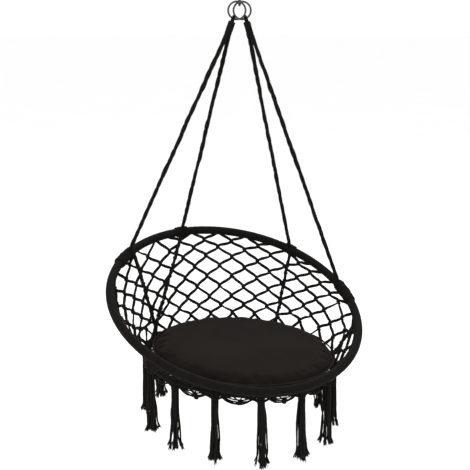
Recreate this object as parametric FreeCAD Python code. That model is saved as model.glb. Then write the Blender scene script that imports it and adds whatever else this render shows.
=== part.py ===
import FreeCAD, Part
import math
import os

from FreeCAD import Matrix, Placement, Rotation, Vector

# Hanging macrame hammock chair with a loose round cushion. Millimetres, +Z up.
# Origin: the middle of the hook's threaded shank, straight above the hanging point.
# +X is the sitter's left as seen from the front, the entrance faces -Y.

# ---------------------------------------------------------------- dimensions
# Hook
HOOK_WIRE_R = 4.0          # wire and shank radius
SHANK_HALF = 15.0          # the threaded shank runs this far each way from the origin
COLLAR_R, COLLAR_H = 9.0, 3.0
HOOK_BEND_R = 18.0         # centreline radius of the hook's bowl
HOOK_SMALL_R = 8.0         # centreline radius of the bend under the collar
HOOK_TIP_DEG = 168.0       # where the open tip ends, from +Y through the bottom
# Hanging rings
RING_Z = -80.0             # height of the ring centres
RING_R, RING_WIRE_R = 24.6, 2.8
RING_DX, RING_DY = 7.5, 4.6
EYE_DEG = 25.0             # where the rope eyes sit, from the bottom of each ring
EYE_HALF_DEG = 11.0
EYE_IN_R, EYE_OUT_R = 4.9, 8.2
NECK_R, NECK_L = 10.5, 40.0
ROPE_R = 6.0               # twisted suspension rope, 12 mm
ROPE_APART = 7.4           # half the spacing of a pair's ropes at the neck
ROPE_DROP = 6.0            # the ropes start this far under the whipping
# The seat's place under the hook, so that its centre of mass hangs plumb
SEAT_DX, SEAT_DY = 1.25, 21.3
# Upper hoop
HOOP_C = (-11.0, 0.0, -954.4)
HOOP_N = (0.191, -0.333, 0.9235)
HOOP_R = 387.5             # centreline
HOOP_TUBE_R, HOOP_TUBE_WALL = 11.0, 1.5
HOOP_WRAP_R = 13.8
# where the ropes meet the hoop, in degrees from its highest point towards +X
AT = {"front_left": -37.6, "back_left": -1.0, "back_right": 57.2, "front_right": 91.5}
LASH_R = 17.4
LASH_SPAN = {"front_left": (-46.3, -35.3), "back_left": (-3.6, 1.6),
             "back_right": (54.6, 59.8), "front_right": (89.6, 103.5)}
# Seat hoop
SEAT_C = (0.0, -44.0, -1113.4)
SEAT_ROLL = 3.8            # the -X side is higher
SEAT_R = 290.0
SEAT_TUBE_R, SEAT_TUBE_WALL = 7.5, 1.5
SEAT_WRAP_R = 9.5
# Net
NET_T = 5.0
GAP = 0.25                 # between curved faces that lie on each other
# Cushion, revolved about its own axis in the seat hoop's plane
CUSHION_AT = (11.0, -2.0)
CUSHION = [(0, -12), (226, -12), (254, -1), (268, 10), (279, 16), (283, 24), (279, 33), (262, 40), (150, 45), (0, 47)]
COVER_T = 1.6
# Web under the cushion
WEB_T = 4.0
# Tassels
TASSELS = 14
TASSEL_FIRST = -78.3       # heading of the first, from +X
KNOT_R, KNOT_H = 12.0, 13.0
TASSEL_TOP_R, TASSEL_LOW_R, TASSEL_L = 11.5, 24.0, 183.0

# ---------------------------------------------------------------- helpers


def unit(v):
    return Vector(v).normalize()


def frame(origin, z, x):
    """A placement with its Z along z and its X as near x as it can be."""
    z = unit(z)
    x = Vector(x) - z * z.dot(Vector(x))
    x.normalize()
    y = z.cross(x)
    m = Matrix(x.x, y.x, z.x, origin[0], x.y, y.y, z.y, origin[1], x.z, y.z, z.z, origin[2], 0, 0, 0, 1)
    return Placement(m)


def put(shape, placement):
    s = shape.copy()
    s.transformShape(placement.toMatrix(), True)
    return s


def rod(a, b, r):
    d = b - a
    return Part.makeCylinder(r, d.Length, a, d)


def ring_arc(radius, r_out, r_in, a0, a1):
    """Part of a torus about Z between two angles, hollow where r_in isn't 0."""
    def disc(r):
        w = Part.Wire(Part.makeCircle(r, Vector(radius, 0, 0), Vector(0, 1, 0)))
        return Part.Face(w)
    face = disc(r_out)
    if r_in:
        face = face.cut(disc(r_in))
    s = face.revolve(Vector(0, 0, 0), Vector(0, 0, 1), a1 - a0)
    s.rotate(Vector(0, 0, 0), Vector(0, 0, 1), a0)
    return s.Solids[0]


def revolved(profile):
    pts = [Vector(x, 0, z) for x, z in profile]
    pts.append(pts[0])
    return Part.Face(Part.makePolygon(pts)).revolve(Vector(0, 0, 0), Vector(0, 0, 1), 360).Solids[0]


os.makedirs("parts", exist_ok=True)


def save(name, shape):
    solids = shape.Solids
    assert solids and all(s.isValid() and s.Volume > 0 for s in solids), name
    (solids[0] if len(solids) == 1 else Part.makeCompound(solids)).exportStep("parts/%s.step" % name)


# ---------------------------------------------------------------- frames
seat_shift = Vector(SEAT_DX, SEAT_DY, 0)
hoop_c = Vector(*HOOP_C) + seat_shift
hoop_n = unit(HOOP_N)
up = Vector(0, 0, 1)
hoop_up = unit(up - hoop_n * hoop_n.z)          # towards the hoop's highest point
hoop_side = hoop_up.cross(hoop_n)               # towards +X
seat_c = Vector(*SEAT_C) + seat_shift
roll = math.radians(SEAT_ROLL)
seat_n = Vector(math.sin(roll), 0, math.cos(roll))
seat_place = frame(seat_c, seat_n, (1, 0, 0))


def hoop_point(deg):
    t = math.radians(deg)
    return hoop_c + hoop_up * (HOOP_R * math.cos(t)) + hoop_side * (HOOP_R * math.sin(t))


def hoop_tangent(deg):
    t = math.radians(deg)
    return hoop_side * math.cos(t) - hoop_up * math.sin(t)


HOOP_HEADING = math.degrees(math.atan2(hoop_up.y, hoop_up.x))


def seat_point(heading):
    t = math.radians(heading)
    return seat_place.multVec(Vector(SEAT_R * math.cos(t), SEAT_R * math.sin(t), 0))


# the hoop's own frame: X to the highest point, Z along the normal; angles there run against AT's
hoop_place = frame(hoop_c, hoop_n, hoop_up)


def on_hoop(r_out, r_in, a0, a1):
    return put(ring_arc(HOOP_R, r_out, r_in, -a1, -a0), hoop_place)


# ---------------------------------------------------------------- hook
centre_z = RING_Z + math.sqrt((RING_R - RING_WIRE_R - HOOK_WIRE_R - 0.1) ** 2 - RING_DX ** 2) - 1.4 + HOOK_BEND_R
phi = math.acos(HOOK_SMALL_R / (HOOK_SMALL_R + HOOK_BEND_R))
small_z = centre_z + (HOOK_SMALL_R + HOOK_BEND_R) * math.sin(phi)


def yz(y, z):
    return Vector(0, y, z)


def small(a):
    return yz(HOOK_SMALL_R - HOOK_SMALL_R * math.cos(a), small_z - HOOK_SMALL_R * math.sin(a))


def big(a):
    return yz(HOOK_BEND_R * math.cos(a), centre_z + HOOK_BEND_R * math.sin(a))


tip = -math.radians(360 - HOOK_TIP_DEG)
path = Part.Wire([
    Part.LineSegment(yz(0, -SHANK_HALF - COLLAR_H), small(0)).toShape(),
    Part.Arc(small(0), small(phi / 2), small(phi)).toShape(),
    Part.Arc(big(phi), big(phi / 2 + tip / 2), big(tip)).toShape(),
])
section = Part.Wire(Part.makeCircle(HOOK_WIRE_R, yz(0, -SHANK_HALF - COLLAR_H), up))
hook = path.makePipeShell([section], True, True)
tip_ball = Part.makeSphere(HOOK_WIRE_R + 0.6, big(tip))
shank = Part.makeCylinder(HOOK_WIRE_R, 2 * SHANK_HALF, yz(0, -SHANK_HALF), up)
collar = Part.makeCylinder(COLLAR_R, COLLAR_H, yz(0, -SHANK_HALF - COLLAR_H), up)
save("ceiling_hook", hook.fuse([tip_ball, shank, collar]))

# ---------------------------------------------------------------- rings, eyes, necks, ropes
ends = {k: hoop_point(a) for k, a in AT.items()}
for side, sign in (("left", -1), ("right", 1)):
    rc = Vector(sign * RING_DX, sign * RING_DY, RING_Z)
    # the ring lies in the XZ plane
    place = frame(rc, (0, 1, 0), (1, 0, 0))
    save("ring_" + side, put(Part.makeTorus(RING_R, RING_WIRE_R), place))
    # in that frame Y points down
    mid = 90 - sign * EYE_DEG
    save("rope_eye_" + side, put(ring_arc(RING_R, EYE_OUT_R, EYE_IN_R, mid - EYE_HALF_DEG, mid + EYE_HALF_DEG), place))
    t = math.radians(EYE_DEG)
    eye = rc + Vector(sign * RING_R * math.sin(t), 0, -RING_R * math.cos(t))
    pair = [ends["front_" + side], ends["back_" + side]]
    d = unit((pair[0] + pair[1]) * 0.5 - eye)
    top = eye + d * (EYE_OUT_R + 0.9)
    low = top + d * NECK_L
    save("neck_whipping_" + side, rod(top, low, NECK_R))
    e = pair[1] - pair[0]
    e = unit(e - d * d.dot(e))
    for which, s, q in (("front", -1, pair[0]), ("back", 1, pair[1])):
        a = low + e * (s * ROPE_APART) + d * ROPE_DROP
        rope = unit(q - a)
        cosg = abs(rope.dot(hoop_tangent(AT[which + "_" + side])))
        sing = math.sqrt(1 - cosg ** 2)
        b = q - rope * ((LASH_R + 0.5 + ROPE_R * cosg) / sing)
        save("rope_%s_%s" % (which, side), rod(a, b, ROPE_R))
        print("rope_%s_%s" % (which, side), [round(x, 1) for x in a], [round(x, 1) for x in b], "length %.1f" % (b - a).Length)

# ---------------------------------------------------------------- upper hoop
tube = Part.makeTorus(HOOP_R, HOOP_TUBE_R).cut(Part.makeTorus(HOOP_R, HOOP_TUBE_R - HOOP_TUBE_WALL))
save("upper_hoop_tube", put(tube, hoop_place))
a, b, c, d = AT["front_left"], AT["back_left"], AT["back_right"], AT["front_right"]
for name, a0, a1 in (("back_left", a, b), ("back", b, c), ("back_right", c, d),
                     ("front_right", d, 180.0), ("front_left", 180.0, 360.0 + a)):
    save("upper_hoop_wrap_" + name, on_hoop(HOOP_WRAP_R, HOOP_TUBE_R + GAP, a0 + 0.01, a1 - 0.01))
for name, (a0, a1) in LASH_SPAN.items():
    save("lashing_" + name, on_hoop(LASH_R, HOOP_WRAP_R + GAP, a0, a1))

# ---------------------------------------------------------------- seat hoop and web
tube = Part.makeTorus(SEAT_R, SEAT_TUBE_R).cut(Part.makeTorus(SEAT_R, SEAT_TUBE_R - SEAT_TUBE_WALL))
save("seat_hoop_tube", put(tube, seat_place))
for name, a0 in (("front", -150.0), ("right", -30.0), ("left", 90.0)):
    save("seat_hoop_wrap_" + name, put(ring_arc(SEAT_R, SEAT_WRAP_R, SEAT_TUBE_R + GAP, a0 + 0.01, a0 + 119.99), seat_place))
inner = SEAT_R - SEAT_WRAP_R - GAP
web = revolved([(0, -13.5), (256, -13.5), (inner - 1, -3), (inner - 1, -3 - WEB_T), (256, -13.5 - WEB_T), (0, -13.5 - WEB_T)])
save("seat_web", put(web, seat_place))

# ---------------------------------------------------------------- net between the hoops


def net_section(deg):
    """The net's wall over one heading, as a thin four-cornered wire from the upper hoop to the seat hoop."""
    p, q = hoop_point(deg), seat_point(HOOP_HEADING - deg)
    d = unit(q - p)
    out = unit(hoop_tangent(deg).cross(d))
    if out.dot(p - hoop_c) < 0:
        out = out * -1
    # each end starts inside the hoop's wrap, and is trimmed to it below
    lift, foot = HOOP_WRAP_R - 4, SEAT_WRAP_R - 4
    a, b = p + d * lift, q - d * foot
    h = out * (NET_T / 2)
    return [a + h, a - h, b - h, b + h], (b - a).Length


hoop_room = put(Part.makeTorus(HOOP_R, HOOP_WRAP_R + GAP), hoop_place)
seat_room = put(Part.makeTorus(SEAT_R, SEAT_WRAP_R + GAP), seat_place)
lash_rooms = [((l0 - 0.1, l1 + 0.1), on_hoop(LASH_R + GAP, 0, l0 - 0.1, l1 + 0.1)) for l0, l1 in LASH_SPAN.values()]


def net_panel(a0, a1):
    n = max(2, int(round((a1 - a0) / 7.0)))
    a0, a1 = a0 + 0.05, a1 - 0.05
    rows = [net_section(a0 + (a1 - a0) * i / n)[0] for i in range(n + 1)]
    wires = [Part.makePolygon(r + [r[0]]) for r in rows]
    s = Part.makeLoft(wires, True, True).cut(hoop_room).cut(seat_room)
    for (l0, l1), room in lash_rooms:
        if l0 < a1 and l1 > a0 or l0 + 360 < a1 and l1 + 360 > a0:
            s = s.cut(room)
    return max(s.Solids, key=lambda x: x.Volume)


PANELS = [("back_left", b, (b + c) / 2), ("back_right", (b + c) / 2, c), ("corner_right", c, d),
          ("right_rear", d, 121.5), ("right_front", 121.5, 151.5), ("front", 151.5, 208.5),
          ("left_front", 208.5, 247.6), ("left_middle", 247.6, 286.7), ("left_rear", 286.7, 360 + a),
          ("corner_left", 360 + a, 360 + b)]
for name, a0, a1 in PANELS:
    save("net_" + name, net_panel(a0, a1))
print("net height at the front", min(net_section(x)[1] for x in range(120, 260)))

# thick cords that carry the ropes' pull on down to the seat hoop, the left pair inside the net and the right pair outside
LEGS = {"front_left": (-34.3, 157.0, 1), "back_left": (AT["back_left"], 166.0, 1),
        "back_right": (AT["back_right"], 66.0, -1), "front_right": (117.3, 9.0, -1)}
for name, (deg, heading, inside) in LEGS.items():
    p, q = hoop_point(deg), seat_point(heading)
    inward_p = unit((hoop_c - p) - hoop_tangent(deg) * 0)
    d = unit(q - p)
    inn = unit(inward_p - d * d.dot(inward_p)) * inside
    r = 5.0
    shift = inn * (NET_T / 2 + r + 3.0)
    a_ = p + shift + d * (LASH_R + 1.0 + (9.0 if name == "front_right" else 0.0))
    b_ = q + shift - d * (SEAT_WRAP_R + 3.0)
    save("leg_cord_" + name, rod(a_, b_, r))
    print("leg_cord_" + name, [round(x, 1) for x in a_], [round(x, 1) for x in b_])

# ---------------------------------------------------------------- cushion
cushion_place = seat_place.multiply(Placement(Vector(CUSHION_AT[0], CUSHION_AT[1], 0), Rotation()))


def inset(profile, t):
    """The same closed profile, moved in by t."""
    pts = [Vector(x, z, 0) for x, z in profile]
    out = []
    n = len(pts)
    for i, p in enumerate(pts):
        if p.x == 0:
            out.append((0, p.y + (t if p.y < 17 else -t)))
            continue
        u, v = unit(p - pts[i - 1]), unit(pts[(i + 1) % n] - p)
        n1, n2 = Vector(-u.y, u.x, 0), Vector(-v.y, v.x, 0)
        m = n1 + n2
        k = t / (1 + n1.dot(n2))
        out.append((p.x + m.x * k, p.y + m.y * k))
    return out


outer = revolved(CUSHION)
hollow = revolved(inset(CUSHION, COVER_T))
filling = revolved(inset(CUSHION, COVER_T + 0.3))
save("cushion_cover", put(outer.cut(hollow), cushion_place))
save("cushion_filling", put(filling, cushion_place))

# ---------------------------------------------------------------- tassels
knots = []
for i in range(TASSELS):
    h = TASSEL_FIRST + i * 360.0 / TASSELS
    p = seat_point(h)
    t = math.radians(h)
    top = p - up * (SEAT_WRAP_R + 0.6 + KNOT_R * abs(math.tan(roll) * math.cos(t)))
    knots.append(Part.makeCylinder(KNOT_R, KNOT_H, top, up * -1))
    pivot = top - up * (KNOT_H + TASSEL_TOP_R + 0.4)
    ball = Part.makeSphere(TASSEL_TOP_R, pivot)
    cone = Part.makeCone(TASSEL_TOP_R, TASSEL_LOW_R, TASSEL_L, pivot, up * -1)
    save("tassel_%02d" % (i + 1), ball.fuse(cone))
    print("tassel_%02d" % (i + 1), "heading %.2f" % h, "pivot", [round(x, 2) for x in pivot])
save("tassel_knots", Part.makeCompound(knots))
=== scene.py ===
import bpy
import math
import numpy as np
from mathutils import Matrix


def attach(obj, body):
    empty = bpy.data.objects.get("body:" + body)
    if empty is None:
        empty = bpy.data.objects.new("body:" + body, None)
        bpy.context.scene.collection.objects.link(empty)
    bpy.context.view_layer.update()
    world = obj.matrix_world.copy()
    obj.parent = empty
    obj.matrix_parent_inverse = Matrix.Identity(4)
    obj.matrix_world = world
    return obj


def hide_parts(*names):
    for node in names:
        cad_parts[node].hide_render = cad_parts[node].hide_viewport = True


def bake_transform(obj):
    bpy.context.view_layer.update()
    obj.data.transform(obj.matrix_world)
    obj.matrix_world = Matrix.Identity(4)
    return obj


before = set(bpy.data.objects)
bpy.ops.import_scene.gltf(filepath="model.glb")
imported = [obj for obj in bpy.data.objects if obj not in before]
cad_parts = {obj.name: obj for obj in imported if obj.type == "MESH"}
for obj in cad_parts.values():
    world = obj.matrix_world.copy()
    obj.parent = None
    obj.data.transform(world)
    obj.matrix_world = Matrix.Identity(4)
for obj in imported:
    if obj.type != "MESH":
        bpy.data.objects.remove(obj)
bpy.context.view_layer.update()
rng = np.random.default_rng(11)
MM = 0.001


def V(*a):
    return np.array(a, float)


def unit(v):
    v = np.asarray(v, float)
    return v / np.linalg.norm(v)


# ------------------------------------------------------------------ the frame's own sizes, in metres
SHIFT = V(1.25, 21.3, 0) * MM
HOOP_R, HOOP_TUBE_R, HOOP_WRAP_R, LASH_R = 0.3875, 0.011, 0.0138, 0.0174
HOOP_C = V(-11, 0, -954.4) * MM + SHIFT
HOOP_N = unit([0.191, -0.333, 0.9235])
HOOP_U = unit(V(0, 0, 1) - HOOP_N * HOOP_N[2])
HOOP_S = np.cross(HOOP_U, HOOP_N)
SEAT_C = V(0, -44, -1113.4) * MM + SHIFT
ROLL = math.radians(3.8)
SEAT_X = V(math.cos(ROLL), 0, -math.sin(ROLL))
SEAT_Y = V(0, 1, 0)
SEAT_N = V(math.sin(ROLL), 0, math.cos(ROLL))
SEAT_R, SEAT_WRAP_R = 0.290, 0.0095
HEAD = math.degrees(math.atan2(HOOP_U[1], HOOP_U[0]))
AT = {"front_left": -37.6, "back_left": -1.0, "back_right": 57.2, "front_right": 91.5}
LASH = {"front_left": (-46.3, -35.3), "back_left": (-3.6, 1.6), "back_right": (54.6, 59.8), "front_right": (89.6, 103.5)}
RING_Z, RING_R, RING_DX, RING_DY = -0.080, 0.0246, 0.0075, 0.0046
EYE_DEG, EYE_OUT_R, NECK_L, NECK_R = 25.0, 0.0082, 0.040, 0.0105
ROPE_APART, ROPE_DROP, ROPE_R = 0.0074, 0.006, 0.006


def hoop(deg):
    t = np.radians(deg)
    return HOOP_C + HOOP_R * (np.multiply.outer(np.cos(t), HOOP_U) + np.multiply.outer(np.sin(t), HOOP_S))


def hoop_tangent(deg):
    t = math.radians(deg)
    return HOOP_S * math.cos(t) - HOOP_U * math.sin(t)


def seat(heading):
    t = np.radians(heading)
    return SEAT_C + SEAT_R * (np.multiply.outer(np.cos(t), SEAT_X) + np.multiply.outer(np.sin(t), SEAT_Y))


def wall(deg, s):
    """A point of the netted wall: deg round the upper hoop, s from the upper hoop (0) to the seat hoop (1)."""
    deg, s = np.asarray(deg, float), np.asarray(s, float)
    return hoop(deg) * (1 - s)[..., None] + seat(HEAD - deg) * s[..., None]


# ------------------------------------------------------------------ camera
def build_camera():
    cam = bpy.data.cameras.new("photo_camera")
    cam.lens, cam.sensor_width = 68.84, 36.0
    ob = bpy.data.objects.new("photo_camera", cam)
    ob.location = (-0.01275, -2.6227, -0.0814)
    ob.rotation_euler = (math.radians(90 - 14), 0, 0)
    cam.clip_end = 200
    bpy.context.scene.collection.objects.link(ob)
    bpy.context.scene.camera = ob


build_camera()


# ------------------------------------------------------------------ mesh helpers
def frames_along(P, closed=False, first=None):
    T = (np.roll(P, -1, 0) - np.roll(P, 1, 0)) if closed else np.gradient(P, axis=0)
    T = T / np.linalg.norm(T, axis=1)[:, None]
    ref = first if first is not None else (V(0, 0, 1) if abs(T[0][2]) < 0.85 else V(1, 0, 0))
    n = ref - T[0] * ref.dot(T[0])
    n = n / np.linalg.norm(n)
    N = np.empty_like(P)
    for i in range(len(P)):
        t = T[i]
        n = n - t * (n[0] * t[0] + n[1] * t[1] + n[2] * t[2])
        n = n / math.sqrt(n[0] ** 2 + n[1] ** 2 + n[2] ** 2)
        N[i] = n
    return T, N, np.cross(T, N)


class Bag:
    """Gathers tubes into one mesh, with UVs of (turn round the tube, metres along it)."""

    def __init__(self):
        self.v, self.q, self.t, self.uq, self.ut, self.n = [], [], [], [], [], 0

    def tube(self, P, r, sides=7, closed=False, N=None, flat=(1.0, 1.0), caps=True, twist=None):
        P = np.asarray(P, float)
        m = len(P)
        T, N0, B0 = frames_along(P, closed)
        if N is not None:
            N0 = N - T * np.sum(N * T, axis=1)[:, None]
            N0 = N0 / np.linalg.norm(N0, axis=1)[:, None]
            B0 = np.cross(T, N0)
        r = np.broadcast_to(np.asarray(r, float), (m,))
        a = np.arange(sides) / sides * 2 * math.pi
        if twist is not None:
            a = a[None, :] + np.asarray(twist)[:, None]
        else:
            a = np.broadcast_to(a, (m, sides))
        R = r[:, None, None] * (flat[0] * np.cos(a)[..., None] * N0[:, None, :] + flat[1] * np.sin(a)[..., None] * B0[:, None, :])
        ring = (P[:, None, :] + R).reshape(-1, 3)
        d = np.r_[0, np.cumsum(np.linalg.norm(np.diff(P, axis=0), axis=1))]
        if closed:
            d = np.r_[d, d[-1] + np.linalg.norm(P[0] - P[-1])]
        k = m if closed else m - 1
        i, j = np.meshgrid(np.arange(k), np.arange(sides), indexing="ij")
        i2, j2 = (i + 1) % m, (j + 1) % sides
        quads = np.stack([i * sides + j, i * sides + j2, i2 * sides + j2, i2 * sides + j], -1).reshape(-1, 4) + self.n
        u0, u1 = j / sides, (j + 1) / sides
        v0, v1 = d[i], d[i + 1]
        uv = np.stack([np.stack([u0, v0], -1), np.stack([u1, v0], -1), np.stack([u1, v1], -1), np.stack([u0, v1], -1)], -2)
        self.v.append(ring)
        self.q.append(quads)
        self.uq.append(uv.reshape(-1, 2))
        base = self.n
        self.n += len(ring)
        if not closed and caps:
            for end, flip in ((0, True), (m - 1, False)):
                centre = P[end] + T[end] * (r[end] * min(flat) * (-0.45 if flip else 0.45))
                self.v.append(centre[None])
                c = self.n
                self.n += 1
                jj = np.arange(sides)
                a0, a1 = base + end * sides + jj, base + end * sides + (jj + 1) % sides
                tri = np.stack([a1, a0, np.full(sides, c)], -1) if flip else np.stack([a0, a1, np.full(sides, c)], -1)
                self.t.append(tri)
                ta, tb = jj / sides, (jj + 1) / sides
                if flip:
                    ta, tb = tb, ta
                vv = np.full(sides, d[end])
                self.ut.append(np.stack([np.stack([ta, vv], -1), np.stack([tb, vv], -1), np.stack([(ta + tb) / 2, vv + r[end] * min(flat)], -1)], 1).reshape(-1, 2))

    def make(self, name, mat):
        me = bpy.data.meshes.new(name)
        v = np.concatenate(self.v)
        q = np.concatenate(self.q)
        t = np.concatenate(self.t) if self.t else np.zeros((0, 3), int)
        loops = np.concatenate([q.ravel(), t.ravel()]).astype(np.int32)
        starts = np.concatenate([np.arange(len(q)) * 4, len(q) * 4 + np.arange(len(t)) * 3]).astype(np.int32)
        me.vertices.add(len(v))
        me.vertices.foreach_set("co", v.astype(np.float32).ravel())
        me.loops.add(len(loops))
        me.loops.foreach_set("vertex_index", loops)
        me.polygons.add(len(starts))
        me.polygons.foreach_set("loop_start", starts)
        me.update(calc_edges=True)
        uv = me.uv_layers.new(name="UVMap")
        uvs = np.concatenate([np.concatenate(self.uq)] + ([np.concatenate(self.ut)] if self.ut else []))
        uv.data.foreach_set("uv", uvs.astype(np.float32).ravel())
        me.validate()
        me.polygons.foreach_set("use_smooth", np.ones(len(me.polygons), bool))
        me.materials.append(mat)
        ob = bpy.data.objects.new(name, me)
        bpy.context.scene.collection.objects.link(ob)
        return ob


def nurbs_line(name, points, resolution=12):
    """Points along a smooth NURBS line with these control points."""
    cu = bpy.data.curves.new(name, "CURVE")
    cu.dimensions = "3D"
    cu.resolution_u = resolution
    sp = cu.splines.new("NURBS")
    sp.points.add(len(points) - 1)
    for p, c in zip(sp.points, points):
        p.co = (*[float(x) for x in c], 1.0)
    sp.order_u = 3
    sp.use_endpoint_u = True
    sp.resolution_u = resolution
    ob = bpy.data.objects.new(name, cu)
    me = bpy.data.meshes.new_from_object(ob)
    out = np.array([v.co[:] for v in me.vertices], float)
    bpy.data.objects.remove(ob)
    bpy.data.curves.remove(cu)
    bpy.data.meshes.remove(me)
    return out


def resample(P, step):
    d = np.r_[0, np.cumsum(np.linalg.norm(np.diff(P, axis=0), axis=1))]
    n = max(2, int(round(d[-1] / step)) + 1)
    s = np.linspace(0, d[-1], n)
    return np.stack([np.interp(s, d, P[:, k]) for k in range(3)], -1), s


def smooth_noise(n, step, amount):
    """A gently wandering value at n points, about 'step' points between turns."""
    k = max(4, int(n / step) + 3)
    x = rng.normal(0, 1, k)
    t = np.linspace(0, k - 3.001, n) + 1
    i = t.astype(int)
    f = t - i
    f = f * f * (3 - 2 * f)
    return amount * (x[i] * (1 - f) + x[i + 1] * f)


def bundle(bag, P, cords, r_cord, r_lay, lay, sides=7, wander=0.0, start=None, squeeze=None, step=0.004):
    """Cords twisted round a line: 'lay' metres for one turn."""
    P, s = resample(np.asarray(P, float), step)
    T, N, B = frames_along(P)
    n = len(P)
    ph0 = rng.uniform(0, 6.28) if start is None else start
    drift = smooth_noise(n, 12, 0.35)
    sq = np.ones(n) if squeeze is None else squeeze(s / s[-1])
    for k in range(cords):
        a = ph0 + 2 * math.pi * (k / cords + s / lay) + drift
        ro = r_lay * sq * (1 + smooth_noise(n, 9, wander))
        Q = P + (np.cos(a) * ro)[:, None] * N + (np.sin(a) * ro)[:, None] * B
        bag.tube(Q, r_cord * (1 + smooth_noise(n, 8, 0.04)), sides)


def wind_ring(bag, C, eu, ev, n, R, rho, a0, a1, pitch, starts, ra, rb, steps=16, sides=7, jitter=0.0):
    """Cords wound side by side round a ring's tube between two angles, in degrees."""
    L = R * math.radians(abs(a1 - a0))
    turns = L / pitch
    m = int(turns * steps) + 2
    t = np.linspace(0, turns, m)
    th0 = np.radians(a0 + (a1 - a0) * t / turns)
    for k in range(starts):
        th = th0 + smooth_noise(m, steps * 1.3, jitter * 0.12 * pitch / R)
        ph = 2 * math.pi * (t + k / starts)
        er = np.cos(th)[:, None] * eu + np.sin(th)[:, None] * ev
        rad = np.cos(ph)[:, None] * er + np.sin(ph)[:, None] * n
        rr = rho * (1 + smooth_noise(m, steps * 0.9, jitter * 0.02))
        bag.tube(C + R * er + rr[:, None] * rad, 1.0, sides, N=rad, flat=(rb, ra))


def wind_line(bag, a, b, rho, pitch, ra, rb, steps=16, sides=7, jitter=0.0, starts=1):
    d = unit(b - a)
    x = unit(np.cross(d, V(0.3, 0.9, 0.2)))
    y = np.cross(d, x)
    L = np.linalg.norm(b - a)
    turns = L / pitch
    m = int(turns * steps) + 2
    t = np.linspace(0, turns, m)
    for k in range(starts):
        ph = 2 * math.pi * (t + k / starts)
        rad = np.cos(ph)[:, None] * x + np.sin(ph)[:, None] * y
        rr = rho * (1 + smooth_noise(m, steps * 0.9, jitter * 0.03))
        along = t / turns * L + smooth_noise(m, steps * 1.2, jitter * 0.1 * pitch)
        bag.tube(a + along[:, None] * d + rr[:, None] * rad, 1.0, sides, N=rad, flat=(rb, ra))


# ------------------------------------------------------------------ materials
def new_mat(name):
    m = bpy.data.materials.new(name)
    m.use_nodes = True
    nt = m.node_tree
    return m, nt, nt.nodes["Principled BSDF"]


def node(nt, kind, **kw):
    n = nt.nodes.new(kind)
    for k, v in kw.items():
        if k.startswith("i_"):
            key = k[2:]
            n.inputs[int(key) if key.isdigit() else key.replace("_", " ")].default_value = v
        else:
            setattr(n, k, v)
    return n


def math_node(nt, op, a, b=None, c=None):
    n = nt.nodes.new("ShaderNodeMath")
    n.operation = op
    for i, x in enumerate((a, b, c)):
        if x is None:
            continue
        if isinstance(x, (int, float)):
            n.inputs[i].default_value = x
        else:
            nt.links.new(x, n.inputs[i])
    return n.outputs[0]


def ramp(nt, fac, stops):
    n = nt.nodes.new("ShaderNodeValToRGB")
    n.color_ramp.elements[0].position, n.color_ramp.elements[0].color = stops[0][0], (*stops[0][1], 1)
    n.color_ramp.elements[1].position, n.color_ramp.elements[1].color = stops[-1][0], (*stops[-1][1], 1)
    for pos, col in stops[1:-1]:
        e = n.color_ramp.elements.new(pos)
        e.color = (*col, 1)
    nt.links.new(fac, n.inputs[0])
    return n.outputs[0]


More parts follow.
